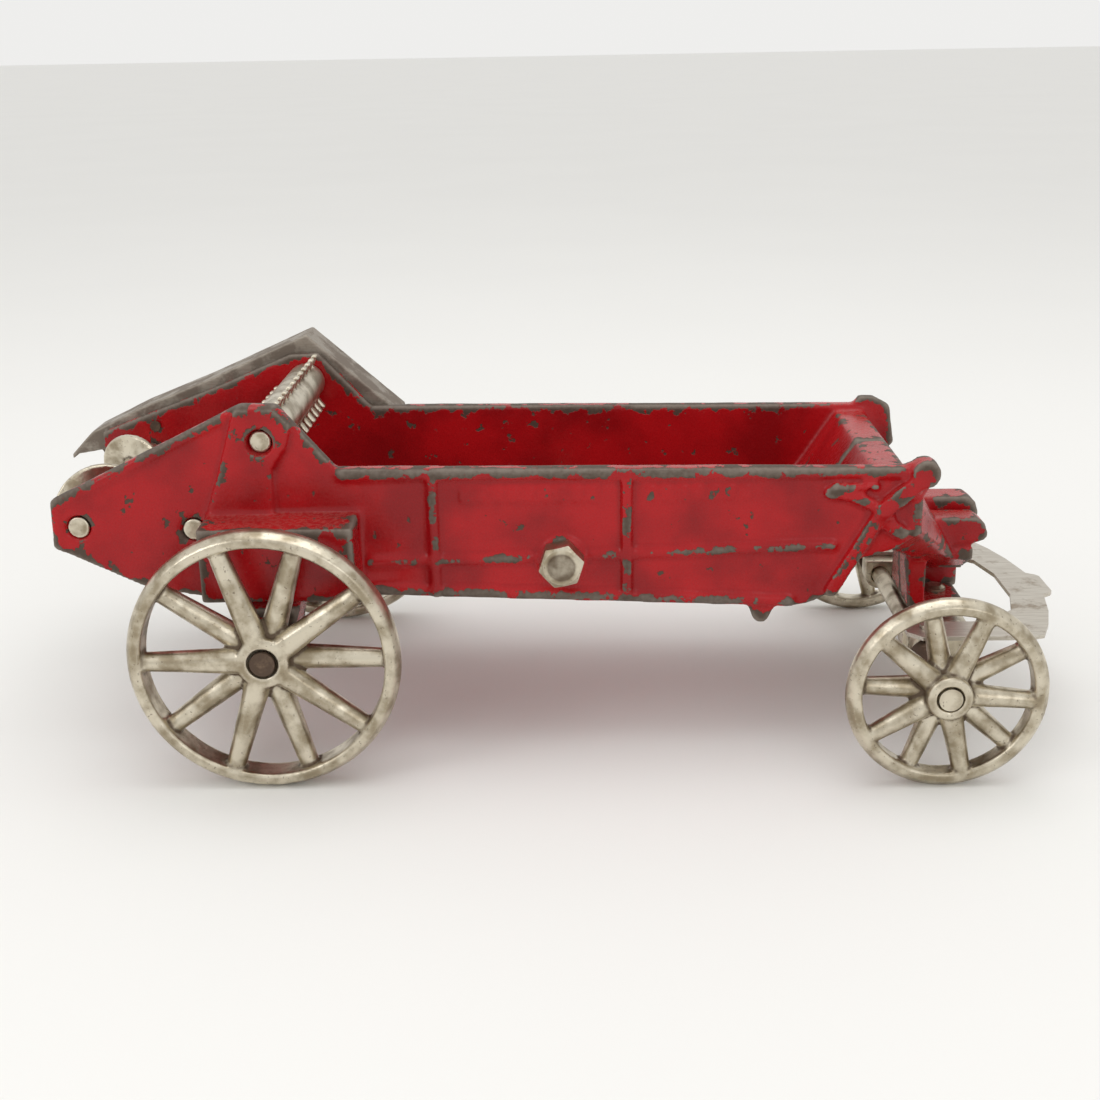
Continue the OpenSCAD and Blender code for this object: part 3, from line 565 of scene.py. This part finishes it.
@dataclass
class Wheel:
    """A cast wheel with two rows of half-round spokes and a flat-faced hub."""

    shop: Shop
    name: str
    node: str
    body: Body
    side: Side
    radius: float
    width: float
    face_ring: float
    hub: float
    hub_in: float
    hub_out: float
    bore: float
    mouth: float
    turn: float
    crown: float = 0.9
    root: float = 2.9
    tip: float = 2.05
    spokes: int = 5
    sleeve: float = 0.0
    sleeve_radius: float = 0.0
    ridge: float = 0.14
    sink: float = 0.55
    row_gap: float = 2.6
    rivet_seat: float = 1.15
    casting_grain: float = 0.36
    softening: int = 2
    ripple: float = 0.03
    edge_rounds: int = 2
    far_rounds: int = 10

    def rim(self, bm: bmesh.types.BMesh) -> None:
        """Adds the crowned rim, whose outer face lies at y = 0."""
        r, w, inner = self.radius, self.width, self.face_ring
        edge = r - self.crown
        spun_ring(bm, [(inner, -w + 0.4), (inner + 0.4, -w), (edge - 0.5, -w), (edge, -w + 0.5),
                       (r - 0.15, -w * 0.7), (r, -w * 0.5), (r - 0.15, -w * 0.3), (edge, -0.5),
                       (edge - 0.5, 0), (inner + 0.5, 0), (inner, -0.5)], 96)

    def spoke(self, bm: bmesh.types.BMesh, angle: float, depth_in: float, depth_out: float) -> None:
        """Adds one spoke.

        Args:
            bm: Mesh of the wheel.
            angle: Its direction, in degrees.
            depth_in: Depth of its middle under the face at the hub, in millimetres.
            depth_out: Depth of its middle at the rim.
        """
        start, end = self.hub - 1.4, self.face_ring + 1.2
        length = math.hypot(end - start, depth_out - depth_in)
        lean = math.atan2(depth_in - depth_out, end - start)
        made = bmesh.ops.create_cone(bm, cap_ends=True, segments=20, radius1=self.root * MM,
                                     radius2=self.tip * MM, depth=length * MM)["verts"]
        # a spoke is wider than it is deep, with a ridge along its front
        for v in made:
            if v.co.y > 0:
                v.co.y *= 1.0 - self.ridge * abs(v.co.x) / (self.root * MM)
        matrix = (
            Matrix.Rotation(math.radians(-angle), 4, "Y")
            @ Matrix.Translation(((start + end) / 2 * MM, -(depth_in + depth_out) / 2 * MM, 0))
            @ Matrix.Rotation(lean, 4, "Z")
            @ Matrix.Rotation(math.pi / 2, 4, "Y")
        )
        bmesh.ops.transform(bm, matrix=matrix, verts=made)
        near = set(made)
        faces = [f for f in bm.faces if near.issuperset(f.verts)]
        edges = list({e for f in faces for e in f.edges})
        cut = bmesh.ops.bisect_plane(bm, geom=made + edges + faces, dist=1e-7,
                                     plane_co=(0, self.hub_out * MM - 1e-5, 0),
                                     plane_no=(0, 1, 0), clear_outer=True)["geom_cut"]
        rims = [e for e in cut if isinstance(e, bmesh.types.BMEdge)]
        if rims:
            bmesh.ops.holes_fill(bm, edges=rims, sides=0)

    def build(self) -> None:
        """Casts the wheel and hangs it on its body."""
        bm = bmesh.new()
        self.rim(bm)
        pitch = 360.0 / self.spokes
        outer_depth = self.root - self.sink - min(self.hub_out, 0.0)
        for k in range(self.spokes):
            self.spoke(bm, self.turn + pitch * (k + 0.5), outer_depth, self.width / 2 - 0.5)
            self.spoke(bm, self.turn + pitch * k, outer_depth + self.row_gap,
                       self.width / 2 + 0.5)
        out, back = self.hub_out, -self.hub_in
        spun_ring(bm, [(self.bore, back), (self.hub, back), (self.hub, out - 0.5),
                       (self.hub - 0.5, out), (self.mouth, out),
                       (self.mouth, out - self.rivet_seat),
                       (self.bore, out - self.rivet_seat)], 64)
        if self.sleeve:
            end = back - self.sleeve
            spun_ring(bm, [(self.bore, end), (self.sleeve_radius, end),
                           (self.sleeve_radius, back + 1), (self.bore, back + 1)], 64)
        low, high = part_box(self.node)
        face = max(abs(low.y), abs(high.y)) - max(self.hub_out, 0.0) * MM
        bmesh.ops.scale(bm, vec=(1, self.side.value, 1), verts=bm.verts)
        bmesh.ops.translate(bm, verts=bm.verts, vec=((low.x + high.x) / 2,
                                                     self.side.value * face,
                                                     (low.z + high.z) / 2))
        piece = cast(finished(bm, self.name), self.casting_grain, self.softening, self.ripple,
                     self.edge_rounds, self.far_rounds)
        self.shop.fit(piece, self.body, Slot.NICKEL, self.node)


@dataclass
class WagonBox:
    """The two clamped castings, the drive guard and what fastens them."""

    shop: Shop
    casting_grain: float = 0.6
    guard_grain: float = 0.42
    flats: float = 8.7
    hex_turn: float = 12.0
    chamfer_start: float = 3.9
    chamfer_slope: float = 0.58
    dish: float = 2.9
    dish_floor: float = 2.6
    head: float = 5.0
    shank_radius: float = 2.1
    shank_sunk: float = 0.5

    def build(self) -> None:
        """Makes the box."""
        shop = self.shop
        shop.recast("right_side_shell", "right_side_casting", Body.WAGON, Slot.ENAMEL,
                    self.casting_grain, 3, 0.07)
        shop.recast("left_side_shell", "left_side_casting", Body.WAGON, Slot.ENAMEL,
                    self.casting_grain, 3, 0.07)
        shop.recast("drive_cover", "drive_guard", Body.WAGON, Slot.SHEET, self.guard_grain, 2, 0.05)
        self.bolt()
        shop.paint(Slot.NICKEL, "clamp_nut", "kingpin")
        shop.paint(Slot.DARK, "guard_rivets", "rear_axle")
        shop.paint(Slot.BRIGHT, "kingpin_washer")

    def bolt(self) -> None:
        """Makes the clamp bolt with its chamfered hexagon."""
        low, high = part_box("clamp_bolt")
        x, z = (low.x + high.x) / 2, (low.z + high.z) / 2
        bm = bmesh.new()
        apothem = self.flats / 2

        def corner(angle: float) -> float:
            """Returns the hexagon's radius in a direction, in millimetres."""
            off = (math.degrees(angle) - self.hex_turn) % 60 - 30
            return apothem / math.cos(math.radians(off))

        ring = bmesh.ops.create_circle(bm, cap_ends=False, segments=96, radius=MM)["verts"]
        angles = [math.atan2(v.co.y, v.co.x) for v in ring]
        loops = [ring]
        edges = list(bm.edges)
        for _ in range(4):
            grown = bmesh.ops.extrude_edge_only(bm, edges=edges)["geom"]
            edges = [g for g in grown if isinstance(g, bmesh.types.BMEdge)]
            verts = [g for g in grown if isinstance(g, bmesh.types.BMVert)]
            verts.sort(key=lambda v: angles.index(min(
                angles, key=lambda a: abs(a - math.atan2(v.co.y, v.co.x)))))
            loops.append(verts)
        for level, loop in enumerate(loops):
            for v, angle in zip(loop, angles):
                r_hex = corner(angle)
                r = (r_hex, r_hex, self.chamfer_start, self.dish, self.dish_floor)[level]
                drop = self.chamfer_slope * max(r_hex - self.chamfer_start, 0.0)
                h = (0.0, self.head - drop, self.head, self.head - 0.02, self.head - 0.12)[level]
                v.co = (r * math.cos(angle) * MM, -h * MM, r * math.sin(angle) * MM)
        bmesh.ops.contextual_create(bm, geom=edges)
        bmesh.ops.contextual_create(bm, geom=[e for e in bm.edges if e.is_boundary])
        bmesh.ops.translate(bm, verts=bm.verts, vec=(x, low.y + self.head * MM, z))
        sunk = self.shank_sunk * MM
        shank = bmesh.ops.create_cone(bm, cap_ends=True, segments=40,
                                      radius1=self.shank_radius * MM,
                                      radius2=self.shank_radius * MM,
                                      depth=high.y - low.y - self.head * MM + sunk)["verts"]
        bmesh.ops.rotate(bm, verts=shank, cent=(0, 0, 0),
                         matrix=Matrix.Rotation(math.pi / 2, 3, "X"))
        bmesh.ops.translate(bm, verts=shank,
                            vec=(x, (high.y + low.y + self.head * MM - sunk) / 2, z))
        piece = finished(bm, "clamp_screw")
        reach = [math.hypot(v.co.x - x, v.co.z - z) / MM for v in piece.data.vertices]
        front = [v.co.y < low.y + 0.3 * MM for v in piece.data.vertices]
        # made-up edge marks: the dish of the head counts as a hollow and tarnishes brown; the ring
        # outside it counts as a ridge and gets the bright nickel, partly rubbed plate and partly a
        # painted highlight
        store(piece.data, "edge", np.array([
            -0.055 if f and r < 2.95 else (0.06 if f and r > 3.5 else 0.0)
            for r, f in zip(reach, front)]))
        store(piece.data, "reach", np.zeros(len(reach)))
        self.shop.fit(piece, Body.WAGON, Slot.NICKEL, "clamp_bolt")


@dataclass
class BeaterTrain:
    """The two toothed beaters, the spiral behind them and their gears."""

    shop: Shop
    grain: float = 0.34

    def build(self) -> None:
        """Makes the turning parts behind the box."""
        rows = (("main_tooth_drum", "main_beater", Body.MAIN),
                ("upper_tooth_drum", "upper_beater", Body.UPPER),
                ("spiral_blade", "rear_spiral", Body.SPIRAL))
        for name, node, body in rows:
            self.shop.recast(name, node, body, Slot.NICKEL, self.grain, 2, 0.05)
        self.shop.paint(Slot.NICKEL, "axle_drive_gear", "main_beater_gear", "upper_beater_gear",
                        "rear_spiral_gear")


@dataclass
class FrontTruck:
    """The steering truck with its axle and hitch bow."""

    shop: Shop
    grain: float = 0.4

    def build(self) -> None:
        """Makes the truck."""
        shop = self.shop
        shop.recast("truck_casting", "front_truck", Body.TRUCK, Slot.NICKEL, self.grain, 3, 0.05)
        bow = rounded(copy_of(shop.node("hitch_bow"), "hitch_strap"), 0.22)
        shop.fit(bow, Body.TRUCK, Slot.BRIGHT, "hitch_bow")
        shop.paint(Slot.BRIGHT, "bow_rivets")
        shop.paint(Slot.DARK, "axle_spacers")
        shop.paint(Slot.NICKEL, "front_axle")


@dataclass
class WheelSet:
    """The four wheels."""

    shop: Shop

    def build(self) -> None:
        """Makes the wheels in pairs."""
        rear = {"radius": 29.0, "width": 6.4, "face_ring": 25.6, "hub": 5.6, "hub_in": 10.0,
                "hub_out": -0.4, "bore": 2.36, "mouth": 3.25, "turn": 0.0}
        front = {"radius": 21.2, "width": 4.6, "face_ring": 17.8, "hub": 4.8, "hub_in": 5.8,
                 "hub_out": 1.6, "bore": 2.16, "mouth": 2.85, "turn": 31.0,
                 "root": 2.6, "tip": 1.9}
        Wheel(self.shop, "right_rear_casting", "rear_wheel_right", Body.RIGHT_REAR, Side.RIGHT,
              **rear).build()
        Wheel(self.shop, "left_rear_casting", "rear_wheel_left", Body.LEFT_REAR, Side.LEFT,
              sleeve=5.6, sleeve_radius=4.0, **rear).build()
        Wheel(self.shop, "right_front_casting", "front_wheel_right", Body.RIGHT_FRONT, Side.RIGHT,
              **front).build()
        Wheel(self.shop, "left_front_casting", "front_wheel_left", Body.LEFT_FRONT, Side.LEFT,
              **front).build()


# ------------------------------------------------------------ the studio


@dataclass
class Studio:
    """Paper floor, soft lights and the camera."""

    eye: Colour = (0.00927, -0.33714, 0.15245)
    pitch: float = 0.333
    yaw: float = -0.021
    roll: float = -0.018
    lens: float = 48.68
    sensor: float = 36.0

    def build(self) -> None:
        """Sets the studio up."""
        self.floor()
        self.light("overhead_box", (0.05, 0.02, 0.75), (0.0, 0.0, 0.0), 0.6, 1.5)
        self.light("left_window", (-0.55, -0.45, 0.5), (0.0, 0.0, 0.03), 0.3, 0.7)
        self.light("front_fill", (0.35, -0.7, 0.35), (0.0, 0.0, 0.03), 0.3, 0.4)
        self.room()
        self.camera()

    def floor(self) -> None:
        """Lays the paper, which runs far past the object on every side."""
        bm = bmesh.new()
        bmesh.ops.create_grid(bm, x_segments=8, y_segments=8, size=12.0)
        paper = finished(bm, "studio_paper_roll")
        paper.data.materials.append(Paper().make())

    def light(self, name: str, place: Colour, target: Colour, size: float, power: float) -> None:
        """Hangs a soft light.

        Args:
            name: Its name.
            place: Where it hangs, in metres.
            target: Point that it faces.
            size: Side of its square face, in metres.
            power: Its power, in watts.
        """
        lamp = bpy.data.lights.new(name, "AREA")
        lamp.size = size
        lamp.energy = power
        made = bpy.data.objects.new(name, lamp)
        aim = Vector(target) - Vector(place)
        turned = aim.to_track_quat("-Z", "Y").to_matrix().to_4x4()
        made.matrix_world = Matrix.Translation(place) @ turned
        bpy.context.scene.collection.objects.link(made)

    def room(self) -> None:
        """Fills the room with even light."""
        world = bpy.data.worlds.new("white_room")
        world.use_nodes = True
        background = world.node_tree.nodes["Background"]
        background.inputs["Color"].default_value = (1.0, 0.995, 0.98, 1.0)
        background.inputs["Strength"].default_value = 0.86
        bpy.context.scene.world = world
        bpy.context.scene.view_settings.view_transform = "Standard"

    def camera(self) -> None:
        """Places the camera."""
        cp, sp = math.cos(self.pitch), math.sin(self.pitch)
        cy, sy = math.cos(self.yaw), math.sin(self.yaw)
        ahead = Vector((sy * cp, cy * cp, -sp))
        right = Vector((cy, -sy, 0.0))
        up = right.cross(ahead)
        cr, sr = math.cos(self.roll), math.sin(self.roll)
        across, above = cr * right + sr * up, cr * up - sr * right
        turned = Matrix((across, above, -ahead)).transposed().to_4x4()
        data = bpy.data.cameras.new("view")
        data.lens = self.lens
        data.sensor_width = self.sensor
        made = bpy.data.objects.new("view", data)
        made.matrix_world = Matrix.Translation(self.eye) @ turned
        bpy.context.scene.collection.objects.link(made)
        bpy.context.scene.camera = made


def main() -> None:
    """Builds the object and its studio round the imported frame."""
    logging.basicConfig(level=logging.INFO, format="%(name)s: %(message)s")
    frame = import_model()
    shop = Shop(frame)
    Studio().build()
    for assembly in (WagonBox(shop), BeaterTrain(shop), FrontTruck(shop), WheelSet(shop)):
        assembly.build()


if __name__ == "__main__":
    main()
